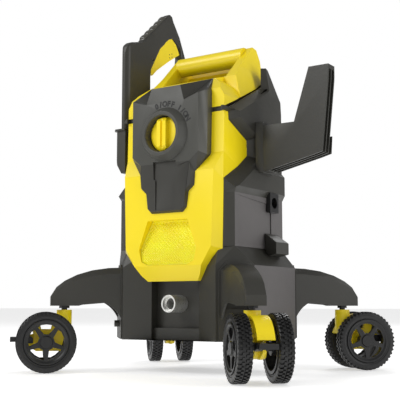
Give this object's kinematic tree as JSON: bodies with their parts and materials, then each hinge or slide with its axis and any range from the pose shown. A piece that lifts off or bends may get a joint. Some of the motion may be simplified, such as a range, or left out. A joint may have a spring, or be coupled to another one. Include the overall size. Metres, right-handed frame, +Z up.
{
  "type": "pressure washer",
  "caption": "Upright electric pressure washer on four legs with twin-wheel casters, a selector dial, a carrying handle, a cable hook and a spray gun stowed at its side.",
  "frame": {"origin": "floor level, centred between the four casters", "axes": "+X towards the cable hook's side, -Y towards the dial and the outlet, +Z up"},
  "size_m": [0.486, 0.438, 0.605],
  "materials": {
    "yellow_plastic": "bright yellow moulded plastic, satin sheen",
    "dark_casing": "dark olive-grey moulded plastic, fine grain",
    "panel_plastic": "mid-grey moulded plastic",
    "black_plastic": "black moulded plastic",
    "tyre_rubber": "black ribbed rubber",
    "soft_grip": "dark soft grip strip with glossy ribs",
    "lens_plastic": "bright yellow plastic with a diamond pattern",
    "bright_steel": "bright turned metal",
    "dull_metal": "painted motor case",
    "cast_metal": "cast pump body"
  },
  "bodies": {
    "housing": {"base_housing": "dark_casing", "caster_stems": "bright_steel", "leg_screws": "bright_steel", "right_shell": "dark_casing", "left_shell": "dark_casing", "front_cover": "yellow_plastic", "lens": "lens_plastic", "top_cover": "yellow_plastic", "control_panel": "panel_plastic", "dial_bezel": "panel_plastic", "rotary_switch": "black_plastic", "outlet_connector": "bright_steel", "inlet_connector": "black_plastic", "cord_gland": "black_plastic", "cable_hook": "dark_casing", "lower_cable_hook": "dark_casing", "gun_holster": "dark_casing", "motor_can": "dull_metal", "pump_head": "cast_metal", "pump_pistons": "bright_steel", "water_pipes": "black_plastic", "front_left_leg": "dark_casing", "front_right_leg": "dark_casing", "rear_left_leg": "dark_casing", "rear_right_leg": "dark_casing"},
    "front_left_caster": {"front_left_fork": "yellow_plastic", "front_left_axle": "bright_steel"},
    "front_left_lever": {"front_left_brake_lever": "black_plastic"},
    "front_left_wheel_a": {"front_left_hub_a": "black_plastic", "front_left_tyre_a": "tyre_rubber"},
    "front_left_wheel_b": {"front_left_hub_b": "black_plastic", "front_left_tyre_b": "tyre_rubber"},
    "front_right_caster": {"front_right_fork": "yellow_plastic", "front_right_axle": "bright_steel"},
    "front_right_lever": {"front_right_brake_lever": "black_plastic"},
    "front_right_wheel_a": {"front_right_hub_a": "black_plastic", "front_right_tyre_a": "tyre_rubber"},
    "front_right_wheel_b": {"front_right_hub_b": "black_plastic", "front_right_tyre_b": "tyre_rubber"},
    "rear_left_caster": {"rear_left_fork": "yellow_plastic", "rear_left_axle": "bright_steel"},
    "rear_left_lever": {"rear_left_brake_lever": "black_plastic"},
    "rear_left_wheel_a": {"rear_left_hub_a": "black_plastic", "rear_left_tyre_a": "tyre_rubber"},
    "rear_left_wheel_b": {"rear_left_hub_b": "black_plastic", "rear_left_tyre_b": "tyre_rubber"},
    "rear_right_caster": {"rear_right_fork": "yellow_plastic", "rear_right_axle": "bright_steel"},
    "rear_right_lever": {"rear_right_brake_lever": "black_plastic"},
    "rear_right_wheel_a": {"rear_right_hub_a": "black_plastic", "rear_right_tyre_a": "tyre_rubber"},
    "rear_right_wheel_b": {"rear_right_hub_b": "black_plastic", "rear_right_tyre_b": "tyre_rubber"},
    "knob": {"selector_knob": "yellow_plastic"},
    "gun": {"gun_body": "dark_casing", "gun_grip_pad": "soft_grip", "gun_pins": "bright_steel", "gun_bayonet": "black_plastic"},
    "trigger": {"gun_trigger": "yellow_plastic"},
    "rotor": {"motor_rotor": "dull_metal"}
  },
  "joints": [
    {"name": "front_left_swivel", "type": "hinge", "parent": "housing", "child": "front_left_caster", "pos_m": [-0.166, -0.142, 0.08], "axis": [0, 0, 1], "continuous": true},
    {"name": "front_left_brake", "type": "hinge", "parent": "front_left_caster", "child": "front_left_lever", "pos_m": [-0.20277, -0.17877, 0.0475], "axis": [0.7071, -0.7071, 0], "range_deg": [0, 8]},
    {"name": "front_left_wheel_a_spin", "type": "hinge", "parent": "front_left_caster", "child": "front_left_wheel_a", "pos_m": [-0.18509, -0.16109, 0.045], "axis": [0.7071, -0.7071, 0], "continuous": true},
    {"name": "front_left_wheel_b_spin", "type": "hinge", "parent": "front_left_caster", "child": "front_left_wheel_b", "pos_m": [-0.18509, -0.16109, 0.045], "axis": [0.7071, -0.7071, 0], "continuous": true},
    {"name": "front_right_swivel", "type": "hinge", "parent": "housing", "child": "front_right_caster", "pos_m": [0.166, -0.142, 0.08], "axis": [0, 0, 1], "continuous": true},
    {"name": "front_right_brake", "type": "hinge", "parent": "front_right_caster", "child": "front_right_lever", "pos_m": [0.20277, -0.17877, 0.0475], "axis": [0.7071, 0.7071, 0], "range_deg": [0, 8]},
    {"name": "front_right_wheel_a_spin", "type": "hinge", "parent": "front_right_caster", "child": "front_right_wheel_a", "pos_m": [0.18509, -0.16109, 0.045], "axis": [0.7071, 0.7071, 0], "continuous": true},
    {"name": "front_right_wheel_b_spin", "type": "hinge", "parent": "front_right_caster", "child": "front_right_wheel_b", "pos_m": [0.18509, -0.16109, 0.045], "axis": [0.7071, 0.7071, 0], "continuous": true},
    {"name": "rear_left_swivel", "type": "hinge", "parent": "housing", "child": "rear_left_caster", "pos_m": [-0.166, 0.142, 0.08], "axis": [0, 0, 1], "continuous": true},
    {"name": "rear_left_brake", "type": "hinge", "parent": "rear_left_caster", "child": "rear_left_lever", "pos_m": [-0.20277, 0.17877, 0.0475], "axis": [-0.7071, -0.7071, 0], "range_deg": [0, 8]},
    {"name": "rear_left_wheel_a_spin", "type": "hinge", "parent": "rear_left_caster", "child": "rear_left_wheel_a", "pos_m": [-0.18509, 0.16109, 0.045], "axis": [-0.7071, -0.7071, 0], "continuous": true},
    {"name": "rear_left_wheel_b_spin", "type": "hinge", "parent": "rear_left_caster", "child": "rear_left_wheel_b", "pos_m": [-0.18509, 0.16109, 0.045], "axis": [-0.7071, -0.7071, 0], "continuous": true},
    {"name": "rear_right_swivel", "type": "hinge", "parent": "housing", "child": "rear_right_caster", "pos_m": [0.166, 0.142, 0.08], "axis": [0, 0, 1], "continuous": true},
    {"name": "rear_right_brake", "type": "hinge", "parent": "rear_right_caster", "child": "rear_right_lever", "pos_m": [0.20277, 0.17877, 0.0475], "axis": [-0.7071, 0.7071, 0], "range_deg": [0, 8]},
    {"name": "rear_right_wheel_a_spin", "type": "hinge", "parent": "rear_right_caster", "child": "rear_right_wheel_a", "pos_m": [0.18509, 0.16109, 0.045], "axis": [-0.7071, 0.7071, 0], "continuous": true},
    {"name": "rear_right_wheel_b_spin", "type": "hinge", "parent": "rear_right_caster", "child": "rear_right_wheel_b", "pos_m": [0.18509, 0.16109, 0.045], "axis": [-0.7071, 0.7071, 0], "continuous": true},
    {"name": "knob_turn", "type": "hinge", "parent": "housing", "child": "knob", "pos_m": [0, -0.112, 0.3525], "axis": [0, 1, 0], "range_deg": [0, 50]},
    {"name": "gun_lift", "type": "slide", "parent": "housing", "child": "gun", "axis": [0, 0, 1], "range_m": [0, 0.1]},
    {"name": "trigger_pull", "type": "hinge", "parent": "gun", "child": "trigger", "pos_m": [-0.114, 0.002, 0.51], "axis": [1, 0, 0], "range_deg": [0, 6], "stiffness_Nm_per_rad": 0.6, "springref_deg": -5.73},
    {"name": "rotor_spin", "type": "hinge", "parent": "housing", "child": "rotor", "pos_m": [0, 0, 0.25], "axis": [0, 0, 1], "continuous": true}
  ]
}
